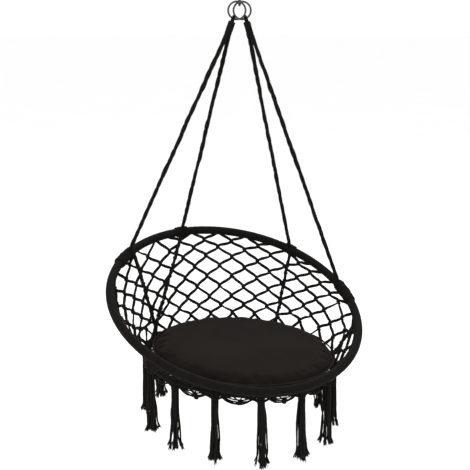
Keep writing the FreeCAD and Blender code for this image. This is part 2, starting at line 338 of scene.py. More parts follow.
def cord_material(name, dark, light, plies=3.0, lay=0.011, sheen=0.02, bump=0.7):
    """Cotton cord: plies twisted round it, fine fibres along them, lighter on the ply ridges and darker in the grooves
    between them, which is painted shade.
    """
    m, nt, b = new_mat(name)
    uv = node(nt, "ShaderNodeUVMap", uv_map="UVMap")
    sep = node(nt, "ShaderNodeSeparateXYZ")
    nt.links.new(uv.outputs[0], sep.inputs[0])
    u, v = sep.outputs[0], sep.outputs[1]
    phase = math_node(nt, "ADD", math_node(nt, "MULTIPLY", u, plies), math_node(nt, "MULTIPLY", v, plies / lay))
    ridge = math_node(nt, "ABSOLUTE", math_node(nt, "SINE", math_node(nt, "MULTIPLY", phase, math.pi)))
    ridge = math_node(nt, "POWER", ridge, 0.6)
    co = node(nt, "ShaderNodeTexCoord")
    fine = node(nt, "ShaderNodeTexNoise", i_Scale=1400.0, i_Detail=4.0, i_Roughness=0.6)
    nt.links.new(co.outputs["Object"], fine.inputs["Vector"])
    # fibres run along each ply
    comb = node(nt, "ShaderNodeCombineXYZ")
    nt.links.new(math_node(nt, "MULTIPLY", phase, 9.0), comb.inputs[0])
    nt.links.new(math_node(nt, "MULTIPLY", v, 160.0), comb.inputs[1])
    nt.links.new(math_node(nt, "MULTIPLY", u, 2.0), comb.inputs[2])
    fibre = node(nt, "ShaderNodeTexNoise", i_Scale=1.0, i_Detail=3.0, i_Roughness=0.65)
    nt.links.new(comb.outputs[0], fibre.inputs["Vector"])
    large = node(nt, "ShaderNodeTexNoise", i_Scale=26.0, i_Detail=2.0)
    nt.links.new(co.outputs["Object"], large.inputs["Vector"])
    # the ply ridge height sets the colour as well as the bump: painted shade darkens the grooves between the plies
    h = math_node(nt, "ADD", math_node(nt, "MULTIPLY", ridge, 0.62),
                  math_node(nt, "ADD", math_node(nt, "MULTIPLY", fibre.outputs[0], 0.3), math_node(nt, "MULTIPLY", fine.outputs[0], 0.12)))
    tone = math_node(nt, "ADD", math_node(nt, "MULTIPLY", h, 0.7), math_node(nt, "MULTIPLY", large.outputs[0], 0.35))
    mid = tuple((x + y) / 2 for x, y in zip(dark, light))
    col = ramp(nt, tone, [(0.28, dark), (0.62, mid), (0.98, light)])
    nt.links.new(col, b.inputs["Base Color"])
    rough = math_node(nt, "SUBTRACT", 1.0, math_node(nt, "MULTIPLY", ridge, 0.14))
    nt.links.new(rough, b.inputs["Roughness"])
    b.inputs["Sheen Weight"].default_value = sheen
    b.inputs["Sheen Roughness"].default_value = 0.5
    b.inputs["Specular IOR Level"].default_value = 0.06
    bp = node(nt, "ShaderNodeBump", i_Strength=bump, i_Distance=0.0007)
    nt.links.new(h, bp.inputs["Height"])
    nt.links.new(bp.outputs[0], b.inputs["Normal"])
    return m


def steel_material(name, base, rough, metallic=0.0, coat=0.0, gloss=0.5):
    """Powder-coated steel: faint orange peel, small scuffs that show on edges and high spots."""
    m, nt, b = new_mat(name)
    co = node(nt, "ShaderNodeTexCoord")
    peel = node(nt, "ShaderNodeTexNoise", i_Scale=420.0, i_Detail=3.0)
    nt.links.new(co.outputs["Object"], peel.inputs["Vector"])
    wear = node(nt, "ShaderNodeTexNoise", i_Scale=60.0, i_Detail=6.0, i_Roughness=0.7)
    nt.links.new(co.outputs["Object"], wear.inputs["Vector"])
    geo = node(nt, "ShaderNodeNewGeometry")
    point = math_node(nt, "MULTIPLY", math_node(nt, "SUBTRACT", geo.outputs["Pointiness"], 0.5), 4.0)
    w = math_node(nt, "ADD", math_node(nt, "MULTIPLY", wear.outputs[0], 0.9), point)
    light = tuple(min(1.0, x * 2.6 + 0.02) for x in base)
    col = ramp(nt, w, [(0.42, base), (0.6, tuple(x * 1.25 for x in base)), (0.82, light)])
    nt.links.new(col, b.inputs["Base Color"])
    nt.links.new(math_node(nt, "ADD", math_node(nt, "MULTIPLY", wear.outputs[0], 0.22), rough - 0.1), b.inputs["Roughness"])
    b.inputs["Metallic"].default_value = metallic
    b.inputs["Specular IOR Level"].default_value = gloss
    b.inputs["Coat Weight"].default_value = coat
    bp = node(nt, "ShaderNodeBump", i_Strength=0.25, i_Distance=0.0002)
    nt.links.new(peel.outputs[0], bp.inputs["Height"])
    nt.links.new(bp.outputs[0], b.inputs["Normal"])
    return m


def fabric_material(name, dark, light, threads=700.0, slub=True):
    """Plain-woven cotton canvas: warp and weft over and under, with thicker threads here and there."""
    m, nt, b = new_mat(name)
    co = node(nt, "ShaderNodeTexCoord")
    sep = node(nt, "ShaderNodeSeparateXYZ")
    nt.links.new(co.outputs["Object"], sep.inputs[0])
    wob = node(nt, "ShaderNodeTexNoise", i_Scale=18.0, i_Detail=2.0)
    nt.links.new(co.outputs["Object"], wob.inputs["Vector"])
    x = math_node(nt, "ADD", sep.outputs[0], math_node(nt, "MULTIPLY", wob.outputs[0], 0.004))
    y = math_node(nt, "ADD", sep.outputs[1], math_node(nt, "MULTIPLY", wob.outputs[0], 0.004))
    y = math_node(nt, "ADD", y, math_node(nt, "MULTIPLY", sep.outputs[2], 1.0))
    sx = math_node(nt, "SINE", math_node(nt, "MULTIPLY", x, threads * math.pi))
    sy = math_node(nt, "SINE", math_node(nt, "MULTIPLY", y, threads * math.pi))
    over = math_node(nt, "MULTIPLY", sx, sy)
    weave = math_node(nt, "ADD", math_node(nt, "MULTIPLY", over, 0.35),
                      math_node(nt, "MULTIPLY", math_node(nt, "MAXIMUM", math_node(nt, "ABSOLUTE", sx), math_node(nt, "ABSOLUTE", sy)), 0.6))
    fuzz = node(nt, "ShaderNodeTexNoise", i_Scale=1100.0, i_Detail=3.0, i_Roughness=0.7)
    nt.links.new(co.outputs["Object"], fuzz.inputs["Vector"])
    mp = node(nt, "ShaderNodeMapping")
    mp.inputs["Scale"].default_value = (14.0, 320.0, 320.0)
    nt.links.new(co.outputs["Object"], mp.inputs["Vector"])
    sl = node(nt, "ShaderNodeTexNoise", i_Scale=1.0, i_Detail=2.0)
    nt.links.new(mp.outputs[0], sl.inputs["Vector"])
    large = node(nt, "ShaderNodeTexNoise", i_Scale=7.0, i_Detail=3.0)
    nt.links.new(co.outputs["Object"], large.inputs["Vector"])
    h = math_node(nt, "ADD", math_node(nt, "MULTIPLY", weave, 0.6), math_node(nt, "ADD", math_node(nt, "MULTIPLY", fuzz.outputs[0], 0.2), math_node(nt, "MULTIPLY", sl.outputs[0], 0.35)))
    tone = math_node(nt, "ADD", math_node(nt, "MULTIPLY", h, 0.55), math_node(nt, "MULTIPLY", large.outputs[0], 0.45))
    mid = tuple((p + q) / 2 for p, q in zip(dark, light))
    nt.links.new(ramp(nt, tone, [(0.3, dark), (0.55, mid), (0.85, light)]), b.inputs["Base Color"])
    nt.links.new(math_node(nt, "SUBTRACT", 1.02, math_node(nt, "MULTIPLY", weave, 0.12)), b.inputs["Roughness"])
    b.inputs["Sheen Weight"].default_value = 0.015
    b.inputs["Sheen Roughness"].default_value = 0.45
    b.inputs["Specular IOR Level"].default_value = 0.05
    bp = node(nt, "ShaderNodeBump", i_Strength=0.5, i_Distance=0.0005)
    nt.links.new(h, bp.inputs["Height"])
    nt.links.new(bp.outputs[0], b.inputs["Normal"])
    return m


def wadding_material(name):
    m, nt, b = new_mat(name)
    co = node(nt, "ShaderNodeTexCoord")
    n = node(nt, "ShaderNodeTexNoise", i_Scale=90.0, i_Detail=6.0)
    nt.links.new(co.outputs["Object"], n.inputs["Vector"])
    nt.links.new(ramp(nt, n.outputs[0], [(0.3, (0.55, 0.53, 0.5)), (0.5, (0.7, 0.69, 0.66)), (0.8, (0.85, 0.84, 0.82))]), b.inputs["Base Color"])
    b.inputs["Roughness"].default_value = 0.95
    bp = node(nt, "ShaderNodeBump", i_Strength=0.6, i_Distance=0.002)
    nt.links.new(n.outputs[0], bp.inputs["Height"])
    nt.links.new(bp.outputs[0], b.inputs["Normal"])
    return m


CORD = cord_material("cotton_cord", (0.0022, 0.0021, 0.0016), (0.0098, 0.0090, 0.0070))
ROPE = cord_material("twisted_rope", (0.0020, 0.0020, 0.0017), (0.0085, 0.0082, 0.0068), lay=0.016)
WRAP = cord_material("hoop_winding", (0.0020, 0.0017, 0.0013), (0.0090, 0.0073, 0.0056), lay=0.012)
FABRIC = fabric_material("cushion_canvas", (0.0036, 0.0026, 0.0019), (0.0108, 0.0079, 0.0059))
PIPING = cord_material("cushion_piping", (0.0050, 0.0039, 0.0031), (0.0150, 0.0118, 0.0094), lay=0.007)
STEEL = steel_material("black_coated_steel", (0.010, 0.010, 0.0095), 0.36, coat=0.15)
TUBE = steel_material("hoop_tube_steel", (0.010, 0.009, 0.008), 0.7, gloss=0.06)
WAD = wadding_material("cushion_wadding")

for n_, mt in (("ceiling_hook", STEEL), ("ring_left", STEEL), ("ring_right", STEEL), ("upper_hoop_tube", TUBE), ("seat_hoop_tube", TUBE), ("cushion_filling", WAD)):
    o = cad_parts[n_]
    if not o.material_slots:
        o.data.materials.append(mt)
    for s_ in o.material_slots:
        s_.material = mt


# ------------------------------------------------------------------ ropes, eyes and necks
def crown_side(sign, side):
    rc = V(sign * RING_DX, sign * RING_DY, RING_Z)
    t = math.radians(EYE_DEG)
    eye = rc + V(sign * RING_R * math.sin(t), 0, -RING_R * math.cos(t))
    ends = [hoop(AT["front_" + side]), hoop(AT["back_" + side])]
    d = unit((ends[0] + ends[1]) * 0.5 - eye)
    top = eye + d * (EYE_OUT_R + 0.0009)
    low = top + d * NECK_L
    e = ends[1] - ends[0]
    e = unit(e - d * d.dot(e))
    ropes = {}
    for which, s, q in (("front", -1, ends[0]), ("back", 1, ends[1])):
        a = low + e * (s * ROPE_APART) + d * ROPE_DROP
        rope = unit(q - a)
        cosg = abs(rope.dot(hoop_tangent(AT[which + "_" + side])))
        sing = math.sqrt(1 - cosg ** 2)
        b = q - rope * ((LASH_R + 0.0005 + ROPE_R * cosg) / sing)
        ropes[which] = (a, b, rope, low + e * (s * 0.0048) - d * 0.004)
    return rc, eye, d, top, low, ropes


for side, sign in (("left", -1), ("right", 1)):
    rc, eye, d, top, low, ropes = crown_side(sign, side)
    for which, (a, b, rope, root) in ropes.items():
        length = np.linalg.norm(b - a)
        across = unit(np.cross(rope, V(0, 1, 0)))
        q = lambda f, x, y: a + rope * (length * f) + across * x + np.cross(rope, across) * y
        ctrl = [root, a + rope * 0.012, q(0.16, 0.0008, -0.0006), q(0.34, -0.0009, 0.0006), q(0.53, 0.0007, 0.0009), q(0.72, -0.0006, -0.0007), q(0.88, 0.0005, 0.0004), b + rope * 0.004]
        line = nurbs_line("line", ctrl, 10)
        bag = Bag()
        bundle(bag, line, 4, 0.0031, 0.0034, 0.150, sides=8, wander=0.20, step=0.0045)
        ob = bag.make("rope_%s_%s_strands" % (which, side), ROPE)
        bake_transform(ob)
        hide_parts("rope_%s_%s" % (which, side))

    # the eye: three loops over the ring's wire, going down into the whipping
    bag = Bag()
    ro = unit(eye - rc)
    tr = unit(np.cross(ro, V(0, 1, 0)))
    w = unit(d - tr * d.dot(tr))
    y = np.cross(tr, w)
    for off in (-0.0037, -0.0012, 0.0012, 0.0037):
        ph = np.radians(np.linspace(-138, 138, 27))
        arc = eye - w * 0.0014 + off * tr + 0.0064 * (np.cos(ph)[:, None] * (-w) + np.sin(ph)[:, None] * y)
        a0 = eye + d * 0.016 + off * 1.2 * tr - y * 0.0042
        a1 = eye + d * 0.016 + off * 1.2 * tr + y * 0.0042
        loop = np.vstack([a0, a0 * 0.45 + arc[0] * 0.55, arc, a1 * 0.45 + arc[-1] * 0.55, a1])
        loop, _ = resample(loop, 0.0016)
        bag.tube(loop, 0.0016, 8)
    ob = bag.make("rope_eye_%s_loops" % side, ROPE)
    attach(ob, "crown")
    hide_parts("rope_eye_" + side)
    # the neck's whipping round the gathered ropes
    bag = Bag()
    wind_line(bag, top + d * 0.001, low - d * 0.001, 0.0089, 0.0038, 0.0020, 0.0017, steps=20, sides=8, jitter=1.0)
    core = np.array([top + (low - top) * f for f in (0.0, 0.06, 0.2, 0.5, 0.8, 0.94, 1.0)])
    bag.tube(core, np.array([0.0060, 0.0080, 0.0084, 0.0084, 0.0084, 0.0080, 0.0068]), 16)
    ob = bag.make("neck_whipping_%s_cord" % side, ROPE)
    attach(ob, "crown")
    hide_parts("neck_whipping_" + side)

# ------------------------------------------------------------------ wound hoops and lashings
bag = Bag()
wind_ring(bag, HOOP_C, HOOP_U, HOOP_S, HOOP_N, HOOP_R, 0.01235, 0.0, 360.0, 0.0184, 4, 0.00270, 0.00145, steps=18, sides=8, jitter=0.22)
ob = bag.make("upper_hoop_winding", WRAP)
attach(ob, "seat")
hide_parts(*["upper_hoop_wrap_" + k for k in ("back_left", "back", "back_right", "front_right", "front_left")])

bag = Bag()
wind_ring(bag, SEAT_C, SEAT_X, SEAT_Y, SEAT_N, SEAT_R, 0.00835, 0.0, 360.0, 0.0150, 4, 0.0023, 0.0012, steps=14, sides=7, jitter=0.22)
ob = bag.make("seat_hoop_winding", WRAP)
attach(ob, "seat")
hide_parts("seat_hoop_wrap_front", "seat_hoop_wrap_right", "seat_hoop_wrap_left")

for name, (a0, a1) in LASH.items():
    bag = Bag()
    wind_ring(bag, HOOP_C, HOOP_U, HOOP_S, HOOP_N, HOOP_R, 0.0156, a0, a1, 0.0046, 1, 0.0025, 0.0020, steps=22, sides=8, jitter=2.2)
    # one or two turns laid back across the others
    mid = AT[name]
    span = max(2.4, (a1 - a0) * 0.42)
    for k, (s0, s1, turns, rho) in enumerate(((a0 + 0.4, min(a1, a0 + span * 2.0), 1.0, 0.0176), (a1 - 0.4, max(a0, a1 - span * 1.7), 1.0, 0.0172))):
        m = 44
        th = np.radians(np.linspace(s0, s1, m))
        ph = np.linspace(0.6 + k * 2.1, 0.6 + k * 2.1 + turns * 2 * math.pi, m)
        er = np.cos(th)[:, None] * HOOP_U + np.sin(th)[:, None] * HOOP_S
        rad = np.cos(ph)[:, None] * er + np.sin(ph)[:, None] * HOOP_N
        rr = rho - 0.0035 * np.maximum(0, np.abs(np.linspace(-1, 1, m)) - 0.82) / 0.18
        bag.tube(HOOP_C + HOOP_R * er + rr[:, None] * rad, 1.0, 8, N=rad, flat=(0.0017, 0.0024))
    ob = bag.make("lashing_%s_turns" % name, WRAP)
    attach(ob, "seat")
    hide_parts("lashing_" + name)


# ------------------------------------------------------------------ the knotted net
COLS = {-9: -68.5, -8: -60.8, -7: -52.6, -6: -45.3, -5: -38.3, -4: -31.2, -3: -23.8, -2: -17.0, -1: -9.8, 0: -2.6,
        1: 4.3, 2: 11.4, 3: 18.6, 4: 25.7, 5: 32.9, 6: 40.1, 7: 47.4, 8: 55.4, 9: 63.4, 10: 71.0, 11: 78.8, 12: 87.1,
        13: 95.3, 14: 103.2, 15: 111.0, 16: 119.0, 17: 127.0}
HALF = 50
for k in range(18, HALF - 9):
    COLS[k] = 127.0 + (k - 17) * (360 - 68.5 - 127.0) / (HALF - 9 - 17)
ROW_AT = [-150, -100, -60, -45, -20, 15, 40, 63, 79, 95, 110, 127, 170, 210]
ROWS = [[5] * 14,
        [28, 38, 45, 44, 38, 36, 41, 48, 51, 56, 45, 30, 26, 28],
        [52, 55, 57, 56, 62, 63, 70, 68, 79, 84, 95, 59, 50, 52],
        [80, 80, 80, 83, 95, 94, 96, 99, 106, 118, 125, 90, 78, 80],
        [106, 108, 112, 118, 127, 130, 128, 127, 136, 158, 150, 120, 104, 106],
        [135, 140, 150, 150, 156, 165, 162, 156, 165, 178, 180, 150, 133, 135],
        [165, 170, 178, 181, 190, 200, 190, 188, 191, 210, 210, 180, 163, 165],
        [195, 200, 210, 213, 222, 236, 221, 214, 220, 235, 240, 210, 193, 195],
        [225, 230, 240, 245, 255, 265, 252, 237, 245, 260, 270, 240, 223, 225],
        [255, 260, 270, 275, 285, 289, 274, 262, 270, 290, 300, 270, 253, 255]]


def col_deg(c):
    """Degrees round the hoop of a half column, which may lie between two."""
    c = c % HALF if c > 17 or c < -9 else c
    if c > HALF - 9:
        c -= HALF
    f = math.floor(c)

    def at(k):
        k = (k + 9) % HALF - 9
        return COLS[k]
    a, b = at(f), at(f + 1)
    if b < a:
        b += 360
    return a + (b - a) * (c - f)


def wall_len(deg):
    return float(np.linalg.norm(hoop(deg) - seat(HEAD - deg)))


def row_height(deg, m):
    x = (deg + 150) % 360 - 150
    return float(np.interp(x, ROW_AT, ROWS[m])) * MM


def wall_point(deg, height):
    s = 1 - height / wall_len(deg)
    return wall(deg, s)


def wall_axes(deg, s):
    p = wall(deg, s)
    down = unit(seat(HEAD - deg) - hoop(deg))
    side = wall(deg + 0.5, s) - wall(deg - 0.5, s)
    side = unit(side - down * side.dot(down))
    return p, side, down, np.cross(side, down)


def knot(bag, p, side, down, out, size=1.0, lean=0.0):
    """A square knot: two flat turns round the four cords, each locked by the other."""
    for k, v0 in enumerate((-0.0021, 0.0021)):
        t = np.linspace(0, 2 * math.pi, 17)[:-1]
        w = 0.0047 * size * np.cos(t)
        o = 0.0032 * size * np.sin(t)
        v = v0 * size + (0.0013 * size) * np.cos(t) * (1 if k else -1) + lean * w
        bag.tube(p + w[:, None] * side + v[:, None] * down + o[:, None] * out, 0.0018 * size, 7, closed=True)
    core = np.array([p - down * 0.0052 * size, p - down * 0.002 * size, p + down * 0.002 * size, p + down * 0.0052 * size])
    bag.tube(core, np.array([0.0026, 0.0033, 0.0033, 0.0026]) * size, 8)


def strand(bag, A, B, ta, tb, out, r=0.0027, gap=0.0026):
    """Two cords side by side from one knot to the next."""
    L = np.linalg.norm(B - A)
    n = max(6, int(L / 0.0042))
    s = np.linspace(0, 1, n)[:, None]
    h00, h10, h01, h11 = 2 * s ** 3 - 3 * s ** 2 + 1, s ** 3 - 2 * s ** 2 + s, -2 * s ** 3 + 3 * s ** 2, s ** 3 - s ** 2
    P = h00 * A + h10 * ta * L + h01 * B + h11 * tb * L
    T, N, Bn = frames_along(P, first=out)
    wob = smooth_noise(n, 4, 0.0005)[:, None] * N + smooth_noise(n, 4, 0.0006)[:, None] * Bn
    turn = rng.normal(0, 0.28) + np.linspace(0, rng.normal(0, 0.7), n)
    env = (0.55 + 0.45 * np.sin(np.linspace(0, math.pi, n)) ** 0.6)[:, None]
    bulge = np.sin(np.linspace(0, math.pi, n))[:, None]
    P = P + wob * bulge
    off = (np.cos(turn)[:, None] * Bn + np.sin(turn)[:, None] * N) * gap * env
    bag.tube(P + off, r, 7)
    bag.tube(P - off, r, 7)


net = Bag()
knots = {}
for c in range(-9, HALF - 9):
    deg = col_deg(c)
    L = wall_len(deg)
    for m in range(1, 10):
        if (c + m) % 2 == 0:
            continue
        h = row_height(deg, m)
        if L - h < 0.025:
            continue
        dd = deg + rng.normal(0, 0.25)
        hh = h + rng.normal(0, 0.0010)
        s = 1 - hh / wall_len(dd)
        knots[(c, m)] = (dd, float(s), *wall_axes(dd, float(s)))
for (c, m), (deg, s, p, side, down, out) in knots.items():
    knot(net, p, side, down, out, 1.42 + rng.normal(0, 0.06), rng.normal(0, 0.12))


def wrapc(c):
    return (c + 9) % HALF - 9


for (c, m), (deg, s, p, side, down, out) in knots.items():
    for dc in (-1, 1):
        # upwards
        other = knots.get((wrapc(c + dc), m + 1))
        if other:
            q = other[2]
            A, B = p - down * 0.0035 + side * dc * 0.0012, q + other[4] * 0.0035 - other[3] * dc * 0.0012
            dirn = unit(B - A)
            strand(net, A, B, unit(dirn - down * 0.22), unit(dirn - other[4] * 0.22), out)
        else:
            room = wall_len(deg) * s
            frac = min(1.0, room / 0.0315)
            e = col_deg(c + dc * frac * 0.92)
            tip = wall(e, 0.0)
            dn = unit(seat(HEAD - e) - tip)
            q = tip + dn * 0.0095
            A = p - down * 0.0035 + side * dc * 0.0012
            dirn = unit(q - A)
            strand(net, A, q, unit(dirn - down * 0.2), unit(dirn - dn * 0.2), out)
        # downwards, where no knot is there to come up from
        if (wrapc(c + dc), m - 1) not in knots:
            e = col_deg(c + dc * (1.0 if m > 1 else 0.9))
            foot = seat(HEAD - e)
            up_ = unit(hoop(e) - foot)
            q = foot + up_ * 0.007
            A = p + down * 0.0035 + side * dc * 0.0012
            dirn = unit(q - A)
            strand(net, A, q, unit(dirn + down * 0.2), unit(dirn - up_ * 0.2), out)
# where the two hoops come close together the wall is a row of short crossed cords
for c in range(-9, HALF - 9):
    if (c, 1) in knots or (c, 2) in knots:
        continue
    for dc in (-0.5, 0.5):
        e0, e1 = col_deg(c + dc), col_deg(c - dc)
        a, b = hoop(e0), seat(HEAD - e1)
        dn = unit(b - a)
        if np.linalg.norm(b - a) < 0.03:
            continue
        strand(net, a + dn * 0.010, b - dn * 0.006, dn * 0.8, dn * 0.8, unit(np.cross(dn, hoop_tangent(e0))))
ob = net.make("net_wall_cords", CORD)
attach(ob, "seat")
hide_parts(*["net_" + k for k in ("back_left", "back_right", "corner_right", "right_rear", "right_front", "front", "left_front", "left_middle", "left_rear", "corner_left")])

# ------------------------------------------------------------------ leg cords, knotted in with the net
LEGS = {"front_left": (-34.3, 157.0, 1, 0.0085), "back_left": (AT["back_left"], 166.0, 1, 0.0030),
        "back_right": (AT["back_right"], 66.0, -1, 0.0030), "front_right": (117.3, 9.0, -1, 0.0030)}
for name, (deg, heading, inside, lift) in LEGS.items():
    p, q = hoop(deg), seat(heading)
    d = unit(q - p)
    inw = unit(HOOP_C - p)
    inn = unit(inw - d * inw.dot(d)) * inside
    L = np.linalg.norm(q - p)
    side = np.cross(d, inn)
    pts = []
    for k, f in enumerate(np.linspace(0.0, 1.0, 9)):
        a = p + d * (0.013 + (L - 0.013 - 0.008) * f)
        off = lift * (1.0 if 0 < k < 8 else 0.65)
        pts.append(a + inn * off + side * (0.0022 * math.sin(k * 2.4 + deg)))
    line = nurbs_line("line", pts, 8)
    bag = Bag()
    bundle(bag, line, 5, 0.0021, 0.0036, 0.110, sides=7, wander=0.25, step=0.0045)
    # ties where the net's rows are knotted to it
    for f in np.linspace(0.13, 0.9, max(3, int(L / 0.034))):
        i = int(f * (len(line) - 1))
        t = unit(line[min(i + 1, len(line) - 1)] - line[i - 1])
        x = unit(np.cross(t, inn))
        y = np.cross(x, t)
        a = np.linspace(0, 2 * math.pi, 15)[:-1]
        for z0 in (-0.0018, 0.0018):
            bag.tube(line[i] + (0.0062 * np.cos(a))[:, None] * x + (0.0058 * np.sin(a))[:, None] * y + (z0 + 0.001 * np.cos(a))[:, None] * t, 0.0017, 7, closed=True)
    ob = bag.make("leg_cord_%s_strands" % name, CORD)
    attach(ob, "seat")
    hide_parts("leg_cord_" + name)

# ------------------------------------------------------------------ web under the cushion
web = Bag()


def seat_at(x, y, z):
    return SEAT_C + np.multiply.outer(x, SEAT_X) + np.multiply.outer(y, SEAT_Y) + np.multiply.outer(z, SEAT_N)


def web_z(r):
    return np.interp(r, [0, 0.250, 0.275, 0.2885], [-0.0160, -0.0155, -0.0090, -0.0060])


radii = [0.284, 0.238, 0.194, 0.152, 0.112, 0.076, 0.045]
WN = 28
pts = {}
for k, r in enumerate(radii):
    for i in range(WN):
        a = 2 * math.pi * (i + (k % 2) * 0.5) / WN + rng.normal(0, 0.003)
        pts[(k, i)] = (a, r)
for k in range(len(radii) - 1):
    for i in range(WN):
        a0, r0 = pts[(k, i)]
        for dj in ((0, -1) if k % 2 == 0 else (0, 1)):
            a1, r1 = pts[(k + 1, (i + dj) % WN)]
            while a1 - a0 > math.pi:
                a1 -= 2 * math.pi
            while a0 - a1 > math.pi:
                a1 += 2 * math.pi
            f = np.linspace(0, 1, 9)
            a, r = a0 + (a1 - a0) * f, r0 + (r1 - r0) * f
            for off in (-1, 1):
                w = 0.0017 * off * np.sin(np.clip(f, 0.1, 0.9) * math.pi) ** 0.5
                web.tube(seat_at(r * np.cos(a) - w * np.sin(a), r * np.sin(a) + w * np.cos(a), web_z(r)), 0.0016, 6)
        if k:
            p = seat_at(r0 * np.cos(a0), r0 * np.sin(a0), web_z(r0))
            side = -math.sin(a0) * SEAT_X + math.cos(a0) * SEAT_Y
            down = -(math.cos(a0) * SEAT_X + math.sin(a0) * SEAT_Y)
            knot(web, p, side, down, SEAT_N, 0.82 if k < 4 else 0.62)
for z0, rr in ((0.0, 0.045), (-0.0025, 0.041), (0.0, 0.036)):
    a = np.linspace(0, 2 * math.pi, 49)[:-1]
    web.tube(seat_at(rr * np.cos(a), rr * np.sin(a), web_z(rr) + z0 + 0 * a), 0.0024, 7, closed=True)
ob = web.make("seat_web_cords", CORD)
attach(ob, "seat")
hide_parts("seat_web")

# ------------------------------------------------------------------ cushion
CUSH = [(0, -12), (110, -12), (200, -12), (226, -11.5), (244, -7), (256, 0), (268, 10), (276, 17), (280, 24), (276, 32), (266, 38), (240, 42), (200, 44), (140, 46), (70, 47), (0, 47)]
CUSH_AT = V(11, -2, 0) * MM


def build_cushion():
    seg = 120
    prof = [(x * MM, z * MM) for x, z in CUSH]
    inner = [(max(0, r - 0.004), z * 1.0 + (0.005 if z < 0.017 else -0.006)) for r, z in prof[1:-1]]
    verts, faces = [], []
    for r, z in inner:
        for i in range(seg):
            a = 2 * math.pi * i / seg
            verts.append((r * math.cos(a), r * math.sin(a), z))
    lo, hi = len(verts), len(verts) + 1
    verts.append((0, 0, prof[0][1] + 0.005))
    verts.append((0, 0, prof[-1][1] - 0.006))
    n = len(inner)
    for k in range(n - 1):
        for i in range(seg):
            j = (i + 1) % seg
            faces.append((k * seg + i, k * seg + j, (k + 1) * seg + j, (k + 1) * seg + i))
    for i in range(seg):
        j = (i + 1) % seg
        faces.append((lo, j, i))
        faces.append(((n - 1) * seg + i, (n - 1) * seg + j, hi))
    me = bpy.data.meshes.new("cushion_body")
    me.from_pydata(verts, [], faces)
    me.validate()
    ob = bpy.data.objects.new("cushion_body", me)
    bpy.context.scene.collection.objects.link(ob)
    return ob


def apply_all(ob):
    dg = bpy.context.evaluated_depsgraph_get()
    me = bpy.data.meshes.new_from_object(ob.evaluated_get(dg), depsgraph=dg)
    old = ob.data
    ob.modifiers.clear()
    ob.data = me
    bpy.data.meshes.remove(old)


def coords(me):
    a = np.empty(len(me.vertices) * 3, np.float32)
    me.vertices.foreach_get("co", a)
    return a.reshape(-1, 3).astype(float)


cushion = build_cushion()
rm = cushion.modifiers.new("r", "REMESH")
rm.mode = "VOXEL"
rm.voxel_size = 0.0058
apply_all(cushion)
base = coords(cushion.data)
vg = cushion.vertex_groups.new(name="seam")
rr = np.hypot(base[:, 0], base[:, 1])
for i in np.nonzero(rr > 0.2715)[0]:
    vg.add([int(i)], 1.0, "REPLACE")
cl = cushion.modifiers.new("c", "CLOTH")
st = cl.settings
st.quality = 5
st.mass = 0.25
st.tension_stiffness = st.compression_stiffness = 12
st.shear_stiffness = 6
st.bending_stiffness = 0.4
st.use_pressure = True
st.uniform_pressure_force = 4.0
st.vertex_group_mass = "seam"
st.effector_weights.gravity = 0
st.shrink_min = -0.06
cl.point_cache.frame_start, cl.point_cache.frame_end = 1, 20
for f in range(1, 21):
    bpy.context.scene.frame_set(f)
apply_all(cushion)
bpy.context.scene.frame_set(1)
now = coords(cushion.data)
if len(now) == len(base):
    mv = now - base
    ln = np.linalg.norm(mv, axis=1)
    cap = 0.0075
    mv *= (np.minimum(ln, cap) / np.maximum(ln, 1e-9))[:, None]
    base = base + mv
# the crown, the pulled-in seam and the soft puckers beside it
rr = np.hypot(base[:, 0], base[:, 1])
ang = np.arctan2(base[:, 1], base[:, 0])
pk = np.zeros(len(base))
for k, (fr, am) in enumerate(((17, 1.0), (29, 0.7), (43, 0.5), (71, 0.35))):
    pk += am * np.sin(fr * ang + rng.uniform(0, 6.28))
edge = np.clip((rr - 0.205) / 0.07, 0, 1) ** 2
topside = base[:, 2] > 0.017
base[:, 2] += np.where(topside, 1, -0.4) * pk * edge * 0.0004
dent = 0.0
for (x0, y0, w0, a0) in ((-0.06, -0.02, 0.11, -0.0022), (0.10, 0.06, 0.09, -0.0016), (0.03, -0.13, 0.08, -0.0014), (-0.14, 0.08, 0.07, 0.0010)):
    dent = dent + a0 * np.exp(-((base[:, 0] - x0) ** 2 + (base[:, 1] - y0) ** 2) / w0 ** 2)
base[:, 2] += np.where(topside, dent, 0)
# nothing past the room that it has
top_room = np.interp(rr, [0, 0.15, 0.24, 0.262, 0.279, 0.285], [0.0475, 0.0465, 0.0435, 0.041, 0.034, 0.026])
low_room = np.interp(rr, [0, 0.222, 0.250, 0.264, 0.275, 0.281, 0.284], [-0.0118, -0.0116, -0.0025, 0.0080, 0.0150, 0.0200, 0.024])
base[:, 2] = np.clip(base[:, 2], low_room, top_room)
world = SEAT_C + CUSH_AT[0] * SEAT_X + CUSH_AT[1] * SEAT_Y + base[:, :1] * SEAT_X + base[:, 1:2] * SEAT_Y + base[:, 2:] * SEAT_N
cushion.data.vertices.foreach_set("co", world.astype(np.float32).ravel())
cushion.data.update()
cushion.name = "cushion_canvas_cover"
cushion.data.name = "cushion_canvas_cover"
sm = cushion.modifiers.new("m", "SMOOTH")
sm.factor, sm.iterations = 0.5, 4
sb = cushion.modifiers.new("s", "SUBSURF")
sb.levels = sb.render_levels = 1
apply_all(cushion)
cushion.data.materials.clear()
cushion.data.materials.append(FABRIC)
cushion.data.polygons.foreach_set("use_smooth", np.ones(len(cushion.data.polygons), bool))
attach(cushion, "cushion")
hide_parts("cushion_cover", "cushion_filling")


def on_cushion(x, y, z):
    return SEAT_C + np.multiply.outer(x + CUSH_AT[0], SEAT_X) + np.multiply.outer(y + CUSH_AT[1], SEAT_Y) + np.multiply.outer(z, SEAT_N)


